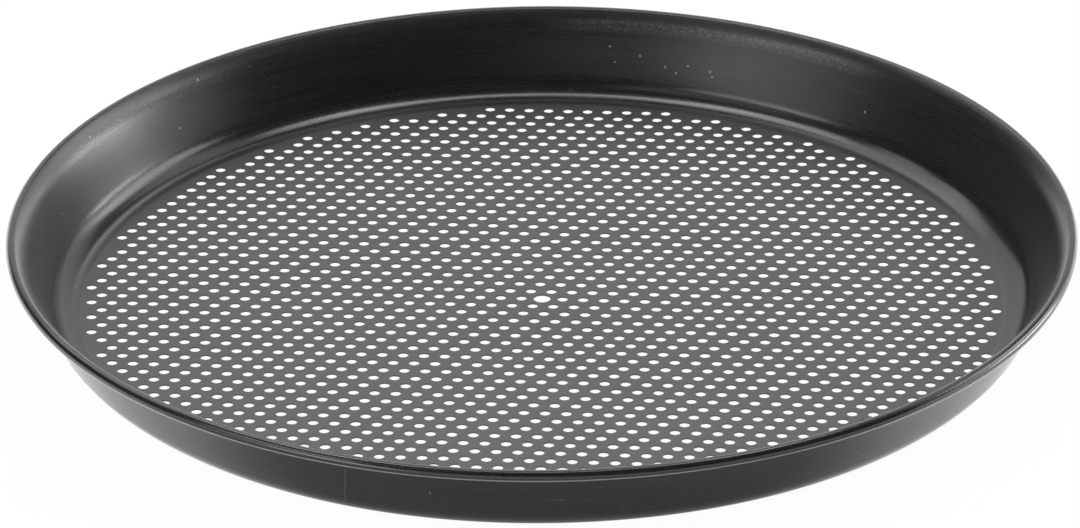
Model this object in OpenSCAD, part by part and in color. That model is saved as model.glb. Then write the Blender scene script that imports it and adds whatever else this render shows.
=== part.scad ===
// Perforated pizza pan: a round, shallow baking pan pressed from one disc of
// perforated sheet steel, with a soft fold at its foot, a leaning wall that
// flares towards the rim, and an edge rolled outwards into a bead.
//
// The origin is on the pan's axis, level with the ring that it stands on, with
// +Z up. Directions in the section are counted from level: 0 runs outwards and
// 90 runs straight up.

/* [Pan] */
// Diameter over the rolled rim
pan_d = 320; // [240:1:400]
// Height from the table to the top of the rim
pan_h = 25.7; // [22:0.1:50]
// Thickness of the sheet
sheet_t = 0.4; // [0.3:0.05:0.8]
// How far the middle of the floor is crowned up, so that the pan stands on its edge
crown_h = 0.15; // [0.1:0.05:1]

/* [Wall] */
// Inside radius of the fold between the floor and the wall
foot_r = 9.5; // [3:0.5:12]
// Direction of the straight part of the wall
wall_deg = 68.4; // [60:0.1:80]
// Radius of the bend that flares the wall towards the rim
flare_r = 14; // [6:0.5:18]
// Direction of the flare where it runs into the rolled rim
flare_deg = 40; // [30:1:55]

/* [Rim] */
// Outer diameter of the rolled rim
bead_d = 3.5; // [2.6:0.1:5]
// How far the sheet turns in the roll, in degrees
bead_turn = 265; // [180:5:280]

/* [Holes] */
// Diameter of a hole
hole_d = 3.2; // [1.6:0.1:3.4]
// Distance between the holes of one row
hole_pitch = 5.54; // [4.6:0.02:9]
// Distance between one row and the next, which is set half a pitch along
row_pitch = 5.54; // [4.6:0.02:9]
// Direction of the rows, from +X
row_deg = 59.2; // [0:0.1:90]
// Plain edge of the floor, from the outermost hole centres to the fold
plain_edge = 1.95; // [1.8:0.05:20]
// How far the field of holes is off the middle of the floor, towards +X
field_shift = 0.08; // [0:0.02:0.3]
// Diameter of the locating hole in the middle
locating_d = 5.2; // [3:0.1:6]

/* [Hidden] */
$fn = 64;

// Flats that make up the crown, and the level ring left round their corners
crown_flats = 8;
level_ring = 1.5;
// How far the punches run past the sheet on either side
punch_over = 0.1;

// Unit vector along the sheet, and unit vector from its inner face into the pan
function along(deg) = [cos(deg), sin(deg)];
function inward(deg) = [-sin(deg), cos(deg)];

// The section is worked out from the rim down to the floor. The inner face of
// the wall becomes the outer face of the roll.
bead_r = bead_d / 2;
bead_c = [pan_d / 2 - bead_r, pan_h - bead_r];
flare_c = bead_c - (flare_r - bead_r) * inward(flare_deg);
wall_top = flare_c + flare_r * inward(wall_deg);
foot_top_z = sheet_t + foot_r * (1 - cos(wall_deg));
wall_len = (wall_top[1] - foot_top_z) / sin(wall_deg);
wall_foot = wall_top - wall_len * along(wall_deg);

// The floor ends where the fold begins
floor_r = wall_foot[0] - foot_r * sin(wall_deg);
field_r = floor_r - plain_edge;
// Middle of the field, seen from the axis with the rows along +X
field_c = field_shift * along(-row_deg);
crown_r = floor_r - level_ring;

// The section is laid like a strip of sheet that runs along +X with its inner
// face up and level with the origin. Each piece carries the next one at its end.
module straight(length) {
  translate([0, -sheet_t])
    square([length, sheet_t]);
  translate([length, 0])
    children();
}

// Ring between two radii, kept from straight down to as far as it turns
module arc_piece(inner_r, outer_r, turn) {
  reach = 2 * outer_r;
  difference() {
    circle(outer_r);
    circle(inner_r);
    translate([-reach, -reach])
      square([reach, 2 * reach]);
    rotate(turn)
      translate([0, -reach])
        square([reach, 2 * reach]);
  }
}

// Bend of up to 180 degrees with its centre on the side of the inner face
module bend_in(radius, turn) {
  translate([0, radius]) {
    arc_piece(radius, radius + sheet_t, turn);
    rotate(turn)
      translate([0, -radius])
        children();
  }
}

// The same bend the other way, with the radius still that of the inner face
module bend_out(radius, turn) {
  mirror([0, 1])
    translate([0, radius]) {
      arc_piece(radius - sheet_t, radius, turn);
      rotate(turn)
        translate([0, -radius])
          mirror([0, 1])
            children();
    }
}

module section() {
  translate([0, sheet_t])
    straight(floor_r)
      bend_in(foot_r, wall_deg)
        straight(wall_len)
          bend_out(flare_r, wall_deg - flare_deg)
            bend_out(bead_r, bead_turn / 2)
              bend_out(bead_r, bead_turn / 2);
}

// Low pyramid with its base on the floor, or carried on down to a larger base
module crown(share) {
  cylinder(h = share * crown_h, r1 = share * crown_r, r2 = 0, $fn = crown_flats);
}

module hole_pattern() {
  rows = ceil((field_r + field_shift) / row_pitch);
  columns = ceil((field_r + field_shift) / hole_pitch) + 1;
  circle(d = locating_d);
  rotate(row_deg)
    for (row = [-rows : rows])
      for (column = [-columns : columns]) {
        stagger = row % 2 == 0 ? 0 : hole_pitch / 2;
        place = [column * hole_pitch + stagger, row * row_pitch];
        if (norm(place) > hole_pitch / 2 && norm(place - field_c) <= field_r)
          translate(place)
            circle(d = hole_d);
      }
}

module pan() {
  color([0.2, 0.2, 0.21])
    difference() {
      union() {
        rotate_extrude()
          section();
        translate([0, 0, sheet_t])
          crown(1);
      }
      translate([0, 0, -crown_h])
        crown(2);
      translate([0, 0, -punch_over])
        linear_extrude(height = sheet_t + crown_h + 2 * punch_over)
          hole_pattern();
    }
}

pan();
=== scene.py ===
import math

import bpy
from mathutils import Matrix, Vector
from mathutils.geometry import delaunay_2d_cdt


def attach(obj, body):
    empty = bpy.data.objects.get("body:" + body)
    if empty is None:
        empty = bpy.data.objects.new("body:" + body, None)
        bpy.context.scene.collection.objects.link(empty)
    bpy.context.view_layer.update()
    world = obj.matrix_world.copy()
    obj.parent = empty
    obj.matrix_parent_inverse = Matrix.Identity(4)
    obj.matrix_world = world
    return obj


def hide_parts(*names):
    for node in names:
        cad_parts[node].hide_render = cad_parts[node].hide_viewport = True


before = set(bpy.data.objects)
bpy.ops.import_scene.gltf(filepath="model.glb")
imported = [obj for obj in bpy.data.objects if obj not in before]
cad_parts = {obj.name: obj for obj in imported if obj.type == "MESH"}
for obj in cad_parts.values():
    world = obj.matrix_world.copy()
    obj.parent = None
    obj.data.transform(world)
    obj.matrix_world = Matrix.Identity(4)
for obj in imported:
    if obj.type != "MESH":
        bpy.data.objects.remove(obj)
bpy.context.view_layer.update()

MM = 0.001

# Sizes in mm
PAN_D = 320.0
PAN_H = 25.7
SHEET_T = 0.4
CROWN_H = 0.15
FOOT_R = 9.5
WALL_DEG = 68.4
FLARE_R = 14.0
FLARE_DEG = 40.0
BEAD_R = 1.75
BEAD_TURN = 265.0
HOLE_R = 1.6
HOLE_PITCH = 5.54
ROW_PITCH = 5.54
ROW_DEG = 59.2
PLAIN_EDGE = 1.95
FIELD_SHIFT = 0.08
LOCATING_R = 2.6
LEVEL_RING = 1.5

# Sides of the turned rings and of the holes, and steps along each stretch of the section
SEGMENTS = 480
HOLE_SIDES = 14
LOCATING_SIDES = 28
FOLD_STEPS = 9
WALL_STEPS = 3
FLARE_STEPS = 4
ROLL_STEPS = 18
# Edges that turn by more than this stay sharp
SHARP_DEG = 40
# Points nearer to each other than this, in mm, are one point of the floor
MERGE_WITHIN = 1e-7


def along(deg):
    """Unit vector in a direction counted from level or from +X."""
    return Vector((math.cos(math.radians(deg)), math.sin(math.radians(deg))))


def inward(deg):
    """Unit vector a quarter turn on from that direction, which is from the wall into the pan."""
    return Vector((-math.sin(math.radians(deg)), math.cos(math.radians(deg))))


# The section is worked out from the rim down to the floor, as (radius, z)
bead_c = Vector((PAN_D / 2 - BEAD_R, PAN_H - BEAD_R))
flare_c = bead_c - (FLARE_R - BEAD_R) * inward(FLARE_DEG)
wall_top = flare_c + FLARE_R * inward(WALL_DEG)
foot_top_z = SHEET_T + FOOT_R * (1 - math.cos(math.radians(WALL_DEG)))
wall_len = (wall_top.y - foot_top_z) / math.sin(math.radians(WALL_DEG))
wall_foot = wall_top - wall_len * along(WALL_DEG)
foot_c = wall_foot + FOOT_R * inward(WALL_DEG)
floor_r = foot_c.x
crown_r = floor_r - LEVEL_RING
# The field of holes, with its middle seen from the axis and the rows along +X
field_r = floor_r - PLAIN_EDGE
field_c = FIELD_SHIFT * along(-ROW_DEG)


def arc(centre, radius, start, end, steps):
    return [centre + radius * along(start + (end - start) * i / steps) for i in range(1, steps + 1)]


def sheet_face(depth):
    """Points (radius, z) of one face of the sheet, from the fold to the lip.
    The face lies at a depth under the inner one."""
    points = [Vector((floor_r, SHEET_T - depth))]
    points += arc(foot_c, FOOT_R + depth, -90, WALL_DEG - 90, FOLD_STEPS)
    fold_end = points[-1]
    points += [fold_end + wall_len * i / WALL_STEPS * along(WALL_DEG) for i in range(1, WALL_STEPS + 1)]
    points += arc(flare_c, FLARE_R - depth, WALL_DEG + 90, FLARE_DEG + 90, FLARE_STEPS)
    points += arc(bead_c, BEAD_R - depth, FLARE_DEG + 90, FLARE_DEG + 90 - BEAD_TURN, ROLL_STEPS)
    return points


def ring(radius, sides, centre=Vector((0, 0)), start=0.0):
    return [centre + radius * along(start + 360 * i / sides) for i in range(sides)]


def crown_z(place):
    """Height of the crowned floor at a place, over the level ring that the pan stands on."""
    return CROWN_H * max(0.0, 1 - place.length / crown_r)


def hole_places():
    """Centres of the small holes, with their rows along the first axis."""
    rows = math.ceil((field_r + FIELD_SHIFT) / ROW_PITCH)
    columns = math.ceil((field_r + FIELD_SHIFT) / HOLE_PITCH) + 1
    found = []
    for row in range(-rows, rows + 1):
        stagger = 0.0 if row % 2 == 0 else HOLE_PITCH / 2
        for column in range(-columns, columns + 1):
            place = Vector((column * HOLE_PITCH + stagger, row * ROW_PITCH))
            if place.length > HOLE_PITCH / 2 and (place - field_c).length <= field_r:
                found.append(place)
    return found


def cell_corners():
    """Corners of the six-sided cell that each hole has for itself, round a hole at the origin."""
    half = HOLE_PITCH / 2
    low = (ROW_PITCH ** 2 - half ** 2) / (2 * ROW_PITCH)
    tip = ROW_PITCH - low
    corners = ((half, low), (0, tip), (-half, low), (-half, -low), (0, -tip), (half, -low))
    return [Vector(c) for c in corners]


def bridge(inner, outer):
    """Triangles between two counter-clockwise rings of point numbers that start at the same angle."""
    triangles, i, j = [], 0, 0
    n, m = len(inner), len(outer)
    while i < n or j < m:
        a, b = inner[i % n], outer[j % m]
        if j == m or (i < n and (i + 0.5) * m <= (j + 0.5) * n):
            i += 1
            triangles.append((a, b, inner[i % n]))
        else:
            j += 1
            triangles.append((a, b, outer[j % m]))
    return triangles


def sides_of(loop):
    """Pairs of neighbours round a closed ring of point numbers."""
    return list(zip(loop, loop[1:] + loop[:1]))


class Floor:
    """One face of the perforated floor, laid out flat with the rows of holes along X.
    The cells that lie well inside it are meshed one by one, and the band round them as a whole."""

    def __init__(self):
        self.points = ring(floor_r, SEGMENTS)
        self.triangles = []
        self.holes = []
        self.corner_at = {}
        self.cell = cell_corners()
        self.cells_r = field_r - ROW_PITCH - self.cell[0].length
        places = hole_places()
        edge_places = [p for p in places if p.length > self.cells_r]
        outline = self.mesh_cells([Vector((0, 0))] + [p for p in places if p.length <= self.cells_r])
        self.mesh_band(edge_places, outline, [Vector((0, 0))] + places)

    def corner(self, place):
        """Number of a cell's corner, which neighbouring cells share."""
        key = (round(place.x, 2), round(place.y, 2))
        if key not in self.corner_at:
            self.corner_at[key] = len(self.points)
            self.points.append(place)
        return self.corner_at[key]

    def punch(self, place, radius, sides):
        """Add a hole's edge, which starts at the angle of its cell's first corner."""
        start = math.degrees(math.atan2(self.cell[0].y, self.cell[0].x))
        hole = list(range(len(self.points), len(self.points) + sides))
        self.points += ring(radius, sides, place, start)
        self.holes.append(hole)
        return hole

    def mesh_cells(self, places):
        """Mesh the cell round each place. Returns the sides that only one cell has."""
        outline = {}
        for place in places:
            in_middle = place.length < HOLE_PITCH / 2
            radius, sides = (LOCATING_R, LOCATING_SIDES) if in_middle else (HOLE_R, HOLE_SIDES)
            hole = self.punch(place, radius, sides)
            around = [self.corner(place + c) for c in self.cell]
            self.triangles += bridge(hole, around)
            for i, j in sides_of(around):
                if (j, i) in outline:
                    del outline[(j, i)]
                else:
                    outline[(i, j)] = True
        return list(outline)

    def mesh_band(self, edge_places, outline, sites):
        """Mesh what lies between the outline of the cells and the fold, round the holes there."""
        first_edge = len(self.points)
        edge_holes = [self.punch(place, HOLE_R, HOLE_SIDES) for place in edge_places]
        chain = sorted(set(i for side in outline for i in side))
        numbers = list(range(SEGMENTS)) + chain + list(range(first_edge, len(self.points)))
        place_of = {old: new for new, old in enumerate(numbers)}
        edges = sides_of(list(range(SEGMENTS)))
        for side in outline + [side for hole in edge_holes for side in sides_of(hole)]:
            edges.append(tuple(place_of[i] for i in side))
        result = delaunay_2d_cdt([self.points[i] for i in numbers], edges, [], 0, MERGE_WITHIN)
        new_triangles, old_points = result[2], result[3]
        site_at = {(round(2 * s.x / HOLE_PITCH), round(s.y / ROW_PITCH)): s for s in sites}
        for triangle in new_triangles:
            corners = tuple(numbers[old_points[i][0]] for i in triangle)
            a, b, c = (self.points[i] for i in corners)
            middle = (a + b + c) / 3
            site = nearest_site(middle, site_at)
            if site is not None and (site.length <= self.cells_r or (site - middle).length < HOLE_R):
                continue
            self.triangles.append(corners if (b - a).cross(c - a) > 0 else corners[::-1])


def nearest_site(place, site_at):
    """The hole centre nearest to a place, or None. They are kept by half pitch and row."""
    half, row = round(2 * place.x / HOLE_PITCH), round(place.y / ROW_PITCH)
    keys = [(half + i, row + j) for i in range(-2, 3) for j in range(-1, 2)]
    near = [site_at[key] for key in keys if key in site_at]
    return min(near, key=lambda site: (site - place).length, default=None)


def pan_mesh():
    """The whole sheet: perforated floor, fold, wall and rolled rim, closed all round.
    The floor is turned here from the axes of its rows to its true direction."""
    floor = Floor()
    count = len(floor.points)
    spin = Matrix.Rotation(math.radians(ROW_DEG), 2)
    vertices = []
    for side in (SHEET_T, 0.0):
        for point in floor.points:
            x, y = spin @ point
            vertices.append((x * MM, y * MM, (side + crown_z(point)) * MM))
    faces = floor.triangles + [tuple(i + count for i in reversed(t)) for t in floor.triangles]
    for hole in floor.holes:
        faces += [(i, j, j + count, i + count) for i, j in sides_of(hole)]
    rings = [list(range(SEGMENTS))]
    turns = [spin @ point for point in ring(1.0, SEGMENTS)]
    for radius, z in sheet_face(0)[1:] + sheet_face(SHEET_T)[:0:-1]:
        rings.append(list(range(len(vertices), len(vertices) + SEGMENTS)))
        vertices += [(turn.x * radius * MM, turn.y * radius * MM, z * MM) for turn in turns]
    rings.append([i + count for i in range(SEGMENTS)])
    for low, high in zip(rings, rings[1:]):
        for i in range(SEGMENTS):
            j = (i + 1) % SEGMENTS
            faces.append((low[j], low[i], high[i], high[j]))
    mesh = bpy.data.meshes.new("pan_sheet")
    mesh.from_pydata(vertices, [], faces)
    mesh.validate()
    mesh.polygons.foreach_set("use_smooth", [True] * len(mesh.polygons))
    mesh.set_sharp_from_angle(angle=math.radians(SHARP_DEG))
    mesh.update()
    return mesh


sheet = bpy.data.objects.new("pan_sheet", pan_mesh())
bpy.context.scene.collection.objects.link(sheet)
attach(sheet, "root")
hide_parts("pan")


class Nodes:
    """Short ways to add shader nodes to one node tree and link them."""

    def __init__(self, tree):
        self.tree = tree
        tree.nodes.clear()

    def add(self, kind, inputs=None, **settings):
        node = self.tree.nodes.new(kind)
        for name, value in settings.items():
            setattr(node, name, value)
        for key, value in (inputs or {}).items():
            self.put(node, key, value)
        return node

    def put(self, node, key, value):
        if isinstance(value, bpy.types.NodeSocket):
            self.tree.links.new(value, node.inputs[key])
        else:
            node.inputs[key].default_value = value

    def math(self, operation, *values):
        return self.add("ShaderNodeMath", dict(enumerate(values)), operation=operation).outputs[0]

    def vector(self, operation, *values):
        node = self.add("ShaderNodeVectorMath", dict(enumerate(values)), operation=operation)
        gives_number = operation in ("DOT_PRODUCT", "LENGTH", "DISTANCE")
        return node.outputs["Value" if gives_number else "Vector"]

    def scaled(self, vector, factor):
        node = self.add("ShaderNodeVectorMath", {"Vector": vector, "Scale": factor}, operation="SCALE")
        return node.outputs["Vector"]

    def join(self, x, y, z):
        return self.add("ShaderNodeCombineXYZ", {"X": x, "Y": y, "Z": z}).outputs[0]

    def split(self, vector):
        return self.add("ShaderNodeSeparateXYZ", {0: vector}).outputs

    def noise(self, vector, scale, detail, roughness):
        inputs = {"Vector": vector, "Scale": scale, "Detail": detail, "Roughness": roughness}
        return self.add("ShaderNodeTexNoise", inputs).outputs["Fac"]

    def span(self, value, low, high, to_low=0.0, to_high=1.0):
        """A smooth change from one value to another as the first argument goes from low to high."""
        inputs = {0: value, 1: low, 2: high, 3: to_low, 4: to_high}
        return self.add("ShaderNodeMapRange", inputs, interpolation_type="SMOOTHSTEP").outputs[0]

    def window(self, value, start, full, last, end):
        """1 between full and last, and 0 before start and past end."""
        return self.math("MULTIPLY", self.span(value, start, full), self.span(value, last, end, 1.0, 0.0))

    def line_distance(self, place, start, end):
        """Distance from the stretch of line between two points."""
        start, reach = Vector(start), Vector(end) - Vector(start)
        offset = self.vector("SUBTRACT", place, start)
        share = self.math("DIVIDE", self.vector("DOT_PRODUCT", offset, reach), reach.length_squared)
        share.node.use_clamp = True
        return self.vector("DISTANCE", offset, self.scaled(tuple(reach), share))

    def colour_mix(self, factor, first, second):
        return self.add("ShaderNodeMix", {0: factor, 6: first, 7: second}, data_type="RGBA").outputs[2]

    def ray_kinds(self):
        """Two values: 1 for rays from the camera and passed rays, and 1 for mirrored rays."""
        path = self.add("ShaderNodeLightPath").outputs
        seen = self.math("MAXIMUM", path["Is Camera Ray"], path["Is Transmission Ray"])
        return seen, path["Is Glossy Ray"]


def grey(value):
    return (value, value, value, 1.0)


def new_material(name, shader_of):
    """A material whose nodes are added by a function."""
    material = bpy.data.materials.new(name)
    material.use_nodes = True
    shader_of(Nodes(material.node_tree))
    return material


# Noise patterns of the coat, in mm: scale, detail and roughness
STREAKS = (1.4, 4.0, 0.7)
GRAIN = (2.4, 3.0, 0.6)
CLOUD = (0.022, 2.0, 0.5)
FLECKS = (1.7, 2.0, 0.6)
STRAY_FLECKS = (1.1, 1.0, 0.5)
# Noise values between which a pattern changes from none to full
TONE_RISE = (0.3, 0.7)
GRAIN_RISE = (0.25, 0.75)
STRAY_RISE = (0.76, 0.82)
# For the flecks also how much they show at those two values
FLECK_RISE = (0.50, 0.66, 0.15, 1.0)
# Streaks and flecks are wound round the pan. One turn of it is a circle of this
# radius in the noise, a small one for streaks, which come out long. A mm of
# height counts as this many mm of radius.
STREAK_TURN_R = 3.0
FLECK_TURN_R = 100.0
HEIGHT_SHARE = 1.6

# Radii between which the coat changes from the floor to the fold, from there to
# the wall, from the flare to the rim, and up to the painted highlight line under the rim
FOLD_START = (floor_r - 1.5, floor_r + 1.0)
FOLD_END = (wall_foot.x - 1.5, wall_foot.x + 0.5)
RIM_START = (bead_c.x - 1.5, bead_c.x)
RIM_HIGHLIGHT_START = (bead_c.x, bead_c.x + 0.8)
# How much of a face's normal points away from the axis, from inside to outside
OUTSIDE_RISE = (-0.05, 0.05)

# Darkest and lightest grey of each part, and how the wall's streaks and grain add up
FLOOR_GREYS = (0.044, 0.060)
WALL_GREYS = (0.012, 0.024)
WALL_RISE = (0.2, 1.4)
GRAIN_IN_WALL = 0.6

# Roughness of the floor, what the grain adds, and how much smoother the rest is
FLOOR_ROUGH = (0.47, 0.51)
GRAIN_ROUGH = (-0.04, 0.04)
WALL_SMOOTHER = (-0.195, -0.145)
FOLD_SMOOTHER = -0.12
RIM_SMOOTHER = -0.13
BUMP_H = 0.02
BUMP_STRENGTH = 0.3
STREAKS_IN_BUMP = 0.3

# Wear that the photo shows, in mm. Dust and flecks have a place and a radius.
SPECKS = (
    (-107.3, 111.2, 22.4, 0.5), (31.7, 147.2, 13.2, 0.4), (39.6, 144.2, 10.6, 0.4),
    (46.8, 142.4, 11.7, 0.35), (43.0, 142.6, 9.2, 0.4), (53.8, 139.6, 10.9, 0.4),
    (54.4, 138.8, 9.5, 0.35), (23.7, 147.7, 10.9, 0.35), (22.1, 149.8, 15.5, 0.35),
    (101.6, 109.6, 10.5, 0.45), (-112.7, 98.8, 11.6, 0.4), (-138.8, 68.7, 22.9, 0.45),
    (-145.9, 35.9, 12.5, 0.35), (-31.9, -147.5, 13.2, 0.25),
)
# Shares of a speck's radius at which it starts to fade and is gone
SPECK_FADE = (0.6, 1.3)
# Fine scratches run from one place to another and fade from the middle outwards
SCRATCHES = (
    ((-55.8, -142.2, 17.9), (-56.2, -136.7, 5.3)),
    ((88.8, -121.2, 11.5), (93.4, -115.3, 6.7)),
    ((0.9, -150.5, 12.4), (6.1, -150.4, 12.2)),
)
SCRATCH_HALF_W = 0.22
SCRATCH_MIDDLE = 0.3
# A painted highlight, a light line along the lower edge of the rolled rim, lies at these heights
RIM_HIGHLIGHT_Z = (22.70, 22.92, 23.18, 23.40)
# The scuffed bands lie on the flare inside the wall, between these angles in radians
SCUFF_Z = (19.2, 20.6, 22.4, 23.8)
SCUFFS = ((2.20, 2.34, 2.72, 2.86), (0.78, 0.92, 1.44, 1.60))
# The grey of bare and dusty places and of the painted rim highlight, and how strongly each kind of mark has
# it
MARK_AND_HIGHLIGHT_GREY = 0.30
FLECKS_SHOW = 0.38
STRAY_SHOW = 0.5
RIM_HIGHLIGHT_SHOWS = 0.85
SCRATCHES_SHOW = 0.26


class CoatPlaces:
    """What the coat's shader needs to know of a place: where on the pan it is, and its patterns."""

    def __init__(self, n):
        self.place = n.scaled(n.add("ShaderNodeTexCoord").outputs["Object"], 1 / MM)
        x, y, self.z = n.split(self.place)
        self.radius = n.vector("LENGTH", n.join(x, y, 0.0))
        self.angle = n.math("ARCTAN2", y, x)
        cosine, sine = n.math("COSINE", self.angle), n.math("SINE", self.angle)
        up_section = n.math("ADD", self.radius, n.math("MULTIPLY", self.z, HEIGHT_SHARE))

        def wound(turn_r, noise):
            round_pan = (n.math("MULTIPLY", part, turn_r) for part in (cosine, sine))
            return n.noise(n.join(*round_pan, up_section), *noise)

        self.streaks = wound(STREAK_TURN_R, STREAKS)
        self.flecks = wound(FLECK_TURN_R, FLECKS)
        self.stray_flecks = wound(FLECK_TURN_R, STRAY_FLECKS)
        self.grain = n.noise(self.place, *GRAIN)
        self.cloud = n.noise(self.place, *CLOUD)
        self.off_floor = n.span(self.radius, *FOLD_START)
        self.on_fold = n.math("MULTIPLY", self.off_floor, n.span(self.radius, *FOLD_END, 1.0, 0.0))
        facing = n.add("ShaderNodeNewGeometry").outputs["True Normal"]
        facing_out = n.vector("DOT_PRODUCT", facing, n.join(cosine, sine, 0.0))
        on_rim = n.span(self.radius, *RIM_START)
        self.on_rim_or_outside = n.math("MAXIMUM", on_rim, n.span(facing_out, *OUTSIDE_RISE))


def coat_colour(n, at):
    """The grey of the whole coat, darker on the wall, with streaks and grain in it."""
    streaks, grain = n.span(at.streaks, *TONE_RISE), n.span(at.grain, *TONE_RISE)
    wall = n.math("ADD", n.math("MULTIPLY", streaks, at.off_floor), n.math("MULTIPLY", grain, GRAIN_IN_WALL))
    floor_colour = n.colour_mix(grain, *map(grey, FLOOR_GREYS))
    wall_colour = n.colour_mix(n.span(wall, *WALL_RISE), *map(grey, WALL_GREYS))
    return n.colour_mix(at.off_floor, floor_colour, wall_colour)


def coat_marks_and_highlight(n, at):
    """How much of the grey of the marks and of the painted rim highlight shows at a place."""
    arcs = [n.window(at.angle, *ends) for ends in SCUFFS]
    scuffed = n.math("MULTIPLY", n.window(at.z, *SCUFF_Z), n.math("MAXIMUM", *arcs))
    scuffs = n.math("MULTIPLY", n.span(at.flecks, *FLECK_RISE), scuffed)
    # Painted highlight: a light ring on the outer lower edge of the rolled rim
    rim_highlight = n.math("MULTIPLY", n.window(at.z, *RIM_HIGHLIGHT_Z), n.span(at.radius, *RIM_HIGHLIGHT_START))
    kinds = [n.math("MULTIPLY", scuffs, FLECKS_SHOW),
             n.math("MULTIPLY", n.span(at.stray_flecks, *STRAY_RISE), STRAY_SHOW),
             n.math("MULTIPLY", rim_highlight, RIM_HIGHLIGHT_SHOWS)]
    for *centre, size in SPECKS:
        fade = (share * size for share in SPECK_FADE)
        kinds.append(n.span(n.vector("DISTANCE", at.place, tuple(centre)), *fade, 1.0, 0.0))
    for ends in SCRATCHES:
        off = n.line_distance(at.place, *ends)
        kinds.append(n.span(off, SCRATCH_MIDDLE * SCRATCH_HALF_W, SCRATCH_HALF_W, SCRATCHES_SHOW, 0.0))
    marks = kinds[0]
    for kind in kinds[1:]:
        marks = n.math("MAXIMUM", marks, kind)
    return marks


def coat_roughness(n, at):
    """Satin on the floor, and smoother on the wall, the fold, the rim and the outside."""
    terms = [n.span(at.cloud, *TONE_RISE, *FLOOR_ROUGH),
             n.math("MULTIPLY", n.span(at.streaks, *TONE_RISE, *WALL_SMOOTHER), at.off_floor),
             n.math("MULTIPLY", at.on_fold, FOLD_SMOOTHER),
             n.math("MULTIPLY", at.on_rim_or_outside, RIM_SMOOTHER)]
    rough = n.span(at.grain, *GRAIN_RISE, *GRAIN_ROUGH)
    for term in terms:
        rough = n.math("ADD", rough, term)
    return rough


def coat_shader(n):
    at = CoatPlaces(n)
    colour = n.colour_mix(coat_marks_and_highlight(n, at), coat_colour(n, at), grey(MARK_AND_HIGHLIGHT_GREY))
    streaks = n.math("MULTIPLY", n.math("MULTIPLY", at.streaks, STREAKS_IN_BUMP), at.off_floor)
    bump = n.add("ShaderNodeBump", {"Strength": BUMP_STRENGTH, "Distance": BUMP_H * MM,
                                    "Height": n.math("ADD", at.grain, streaks)})
    shader = n.add("ShaderNodeBsdfPrincipled", {"Base Color": colour, "Roughness": coat_roughness(n, at),
                                                "Normal": bump.outputs[0], "IOR": 1.5, "Metallic": 0.0})
    n.add("ShaderNodeOutputMaterial", {"Surface": shader.outputs[0]})


coat = new_material("dark_coated_steel", coat_shader)
sheet.data.materials.append(coat)
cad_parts["pan"].data.materials.clear()
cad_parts["pan"].data.materials.append(coat)


def stage_mesh(name, vertices, faces, shader_of):
    """A piece of the studio round the pan."""
    mesh = bpy.data.meshes.new(name)
    mesh.from_pydata(vertices, [], faces)
    mesh.materials.append(new_material(name, shader_of))
    piece = bpy.data.objects.new(name, mesh)
    bpy.context.scene.collection.objects.link(piece)
    return piece


# Half the width of the ground, in metres
GROUND_REACH = 20
GROUND_GREY = 0.9
# This much of what the camera sees of the ground is plain white. The rest is its
# paint, which keeps the pan's shadow.
GROUND_WHITE = 0.97
# In the mirrored picture the ground in front of the pan lies in its shadow, which
# takes this much of the ground's own light and of its paint. Places in metres.
OWN_LIGHT_LOST = 0.62
PAINT_LOST = 0.5
SHADOW_FROM_Y = -0.10
SHADOW_TO_Y = -0.14
SHADOW_NEAR_R = 0.17
SHADOW_FAR_R = 0.32


def ground_shader(n):
    seen, mirrored = n.ray_kinds()
    place = n.add("ShaderNodeNewGeometry").outputs["Position"]
    front = n.span(n.split(place)["Y"], SHADOW_TO_Y, SHADOW_FROM_Y, 1.0, 0.0)
    near = n.span(n.vector("LENGTH", place), SHADOW_NEAR_R, SHADOW_FAR_R, 1.0, 0.0)
    shadow = n.math("MULTIPLY", n.math("MULTIPLY", front, near), mirrored)
    light_left = n.math("SUBTRACT", 1.0, n.math("MULTIPLY", shadow, OWN_LIGHT_LOST))
    colour = n.colour_mix(n.math("MULTIPLY", shadow, PAINT_LOST), grey(GROUND_GREY), grey(0.0))
    paint = n.add("ShaderNodeBsdfDiffuse", {"Color": colour})
    own_light = n.add("ShaderNodeEmission", {"Color": grey(1.0),
                                             "Strength": n.math("MULTIPLY", light_left, mirrored)})
    ground = n.add("ShaderNodeAddShader", {0: paint.outputs[0], 1: own_light.outputs[0]})
    white = n.add("ShaderNodeEmission", {"Color": grey(1.0), "Strength": 1.0})
    mix = n.add("ShaderNodeMixShader", {0: n.math("MULTIPLY", seen, GROUND_WHITE),
                                        1: ground.outputs[0], 2: white.outputs[0]})
    n.add("ShaderNodeOutputMaterial", {"Surface": mix.outputs[0]})


ground_corners = [(x * GROUND_REACH, y * GROUND_REACH, 0) for x, y in ((-1, -1), (1, -1), (1, 1), (-1, 1))]
stage_mesh("studio_floor", ground_corners, [(0, 1, 2, 3)], ground_shader)


def sky_direction(azimuth, height):
    """Direction from the pan: azimuth from +X round to +Y, and height above level, in degrees."""
    level = along(azimuth) * math.cos(math.radians(height))
    return Vector((level.x, level.y, math.sin(math.radians(height))))


# A dark drape round and over the pan keeps stray light off the coat. It is open
# low at the back, where the white backdrop shows. Metres and degrees.
DRAPE_R = 3.7
DRAPE_STEP = 10
DRAPE_GREY = 0.04
OPEN_FROM = 40
OPEN_TO = 120
OPEN_BELOW = 30


def cloth_shader(n):
    cloth = n.add("ShaderNodeBsdfDiffuse", {"Color": grey(DRAPE_GREY)})
    n.add("ShaderNodeOutputMaterial", {"Surface": cloth.outputs[0]})


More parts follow.
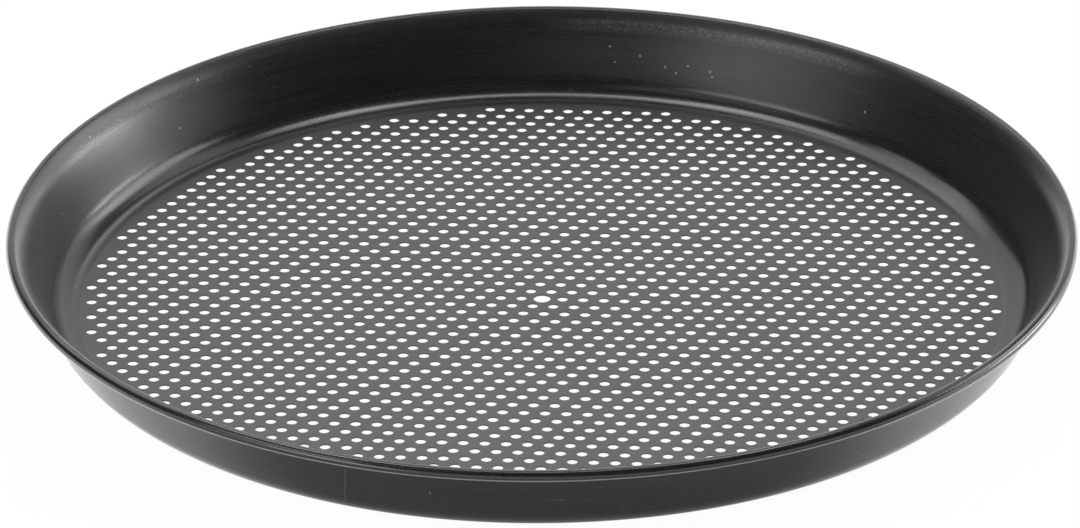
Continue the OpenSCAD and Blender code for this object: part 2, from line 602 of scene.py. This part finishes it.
def drape():
    turns, heights = range(0, 361, DRAPE_STEP), range(0, 91, DRAPE_STEP)
    vertices = [sky_direction(turn, height) * DRAPE_R for height in heights for turn in turns]
    faces = []
    for i, height in enumerate(heights[:-1]):
        for k, turn in enumerate(turns[:-1]):
            if not (OPEN_FROM <= turn < OPEN_TO and height < OPEN_BELOW):
                q = i * len(turns) + k
                faces.append((q, q + 1, q + 1 + len(turns), q + len(turns)))
    stage_mesh("dark_drape", vertices, faces, cloth_shader).visible_camera = False


drape()

LAMP_R = 3.0
# name, azimuth, height, width and height of its face, brightness
SOFT_BOXES = (
    ("right_low", 24, 6, 25, 12, 13.0),
    ("right_side", 0, 5, 22, 10, 3.5),
    ("right_mid", 30, 17, 32, 8, 2.1),
    ("right_high", 25, 30, 38, 16, 5.2),
    ("right_top", 42, 47, 30, 14, 1.6),
    ("right_back", 62, 4, 34, 8, 2.5),
    ("back_low", 105, 4, 50, 8, 2.2),
    ("back_high", 110, 38, 52, 10, 2.2),
    ("back_higher", 115, 49, 62, 12, 2.0),
    ("back_left", 137, 64, 18, 18, 4.4),
    ("back_right", 43, 66, 16, 13, 4.6),
    ("overhead", 90, 80, 44, 10, 5.2),
    ("left_low", 203, 5, 24, 10, 1.3),
    ("left_near", 228, 5, 26, 12, 7.8),
    ("left_mid", 215, 18, 34, 12, 1.7),
    ("left_high", 210, 37, 30, 12, 4.5),
    ("left_top", 215, 55, 34, 16, 0.7),
    ("front_left", 258, 9, 30, 16, 0.9),
)


def soft_box(name, azimuth, height, wide, tall, brightness):
    """A soft lamp at a place in the sky, so wide and so tall in degrees as the pan sees it.
    Its face has the given brightness, where 1 is white."""
    light = bpy.data.lights.new(name, "AREA")
    light.shape = "RECTANGLE"
    light.size, light.size_y = (2 * LAMP_R * math.tan(math.radians(a / 2)) for a in (wide, tall))
    light.energy = brightness * math.pi * light.size * light.size_y
    lamp = bpy.data.objects.new(name, light)
    bpy.context.scene.collection.objects.link(lamp)
    back = sky_direction(azimuth, height)
    side = sky_direction(azimuth + 90, 0)
    lamp.location = back * LAMP_R
    lamp.rotation_mode = "QUATERNION"
    lamp.rotation_quaternion = Matrix((side, back.cross(side), back)).transposed().to_quaternion()
    lamp.visible_camera = False


for box in SOFT_BOXES:
    soft_box(*box)

# The room lights the pan at this level, and the backdrop is white where it is seen or mirrored
ROOM_LIGHT = 0.6

world = bpy.data.worlds.new("studio")
bpy.context.scene.world = world
world.use_nodes = True
sky = Nodes(world.node_tree)
room = sky.add("ShaderNodeBackground", {"Color": grey(1.0), "Strength": ROOM_LIGHT})
backdrop = sky.add("ShaderNodeBackground", {"Color": grey(1.0), "Strength": 1.0})
both = sky.add("ShaderNodeMixShader", {0: sky.math("MAXIMUM", *sky.ray_kinds()),
                                       1: room.outputs[0], 2: backdrop.outputs[0]})
sky.add("ShaderNodeOutputWorld", {"Surface": both.outputs[0]})

# Camera, fitted to the photo's rim, foot and holes. It looks at the pan from the
# -Y side, and its distance in mm is from the middle of the floor.
IMAGE_W = 1080
SENSOR_W = 36
CAM_FOCAL_PX = 7175.94
CAM_DISTANCE = 2156.49
CAM_ABOVE_DEG = 26.4864
CAM_TILT_DEG = 26.2073
CAM_PAN_DEG = -0.0166
CAM_ROLL_DEG = -0.3871
CAM_NEAR = 0.1
CAM_FAR = 100

camera = bpy.data.objects.new("camera", bpy.data.cameras.new("camera"))
bpy.context.scene.collection.objects.link(camera)
camera.data.sensor_width = SENSOR_W
camera.data.lens = CAM_FOCAL_PX * SENSOR_W / IMAGE_W
camera.data.clip_start = CAM_NEAR
camera.data.clip_end = CAM_FAR
above, tilt = math.radians(CAM_ABOVE_DEG), math.radians(CAM_TILT_DEG)
swing, roll = math.radians(CAM_PAN_DEG), math.radians(CAM_ROLL_DEG)
ahead = Vector((math.sin(swing) * math.cos(tilt), math.cos(swing) * math.cos(tilt), -math.sin(tilt)))
level_right = ahead.cross(Vector((0, 0, 1))).normalized()
level_up = level_right.cross(ahead)
right = math.cos(roll) * level_right + math.sin(roll) * level_up
up = math.cos(roll) * level_up - math.sin(roll) * level_right
eye = Vector((0, -CAM_DISTANCE * math.cos(above), CAM_DISTANCE * math.sin(above) + SHEET_T)) * MM
camera.matrix_world = Matrix((right, up, -ahead)).transposed().to_4x4()
camera.location = eye
bpy.context.scene.camera = camera

bpy.context.scene.view_settings.view_transform = "Standard"
